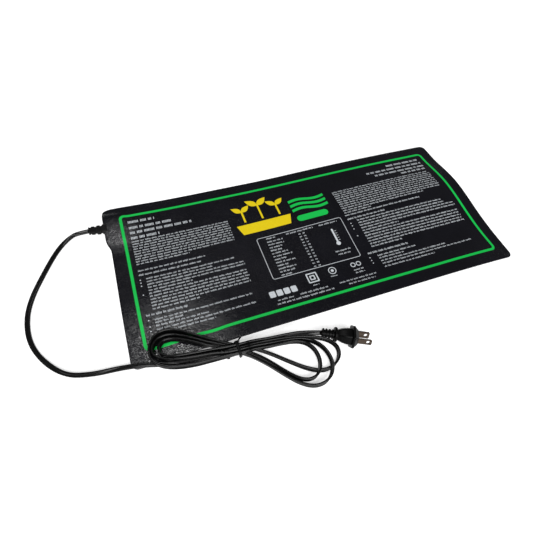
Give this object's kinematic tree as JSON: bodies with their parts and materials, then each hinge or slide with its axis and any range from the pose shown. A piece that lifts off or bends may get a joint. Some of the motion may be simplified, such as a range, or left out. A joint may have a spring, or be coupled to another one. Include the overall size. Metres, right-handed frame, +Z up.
{
  "type": "seedling heat mat",
  "caption": "Flat flexible heating mat for seed trays, with a printed top sheet, a moulded cord entry, a tied flat mains lead and a flat-blade plug.",
  "frame": {"origin": "centre of the mat's underside, on the surface it lies on", "axes": "+X along the mat's long side away from the cord entry, +Y towards the back long edge, +Z up out of the printed face"},
  "size_m": [0.5928, 0.2997, 0.024],
  "materials": {
    "pvc_top": "embossed satin black",
    "pvc_back": "plain satin black",
    "pet_film": "clear film",
    "copper_foil": "copper foil",
    "carbon_ink": "printed carbon",
    "copper_core": "bare copper",
    "tinned_terminal": "tinned",
    "potting": "soft sealing compound",
    "moulded_pvc": "satin moulded black",
    "cord_pvc": "satin black",
    "tie_plastic": "gloss black",
    "tie_wire": "bare wire",
    "plug_pvc": "satin moulded black",
    "bridge_plastic": "moulded insert",
    "plated_blade": "nickel plated"
  },
  "bodies": {
    "root": {"bottom_sheet": "pvc_back", "top_sheet": "pvc_top", "element_base_film": "pet_film", "element_cover_film": "pet_film", "bus_bar_line": "copper_foil", "bus_bar_neutral": "copper_foil", "neutral_jumper": "copper_foil", "carbon_strips": "carbon_ink", "conductor_line": "copper_core", "conductor_neutral": "copper_core", "terminal_line": "tinned_terminal", "terminal_neutral": "tinned_terminal", "terminal_potting": "potting", "cord_strain_relief": "moulded_pvc", "cord_lead": "cord_pvc", "cord_hank": "cord_pvc", "cord_tail": "cord_pvc", "twist_tie_jacket": "tie_plastic", "twist_tie_wire": "tie_wire", "plug_body": "plug_pvc", "plug_bridge": "bridge_plastic", "plug_blade_line": "plated_blade", "plug_blade_neutral": "plated_blade", "plug_core_line": "copper_core", "plug_core_neutral": "copper_core"}
  },
  "joints": []
}
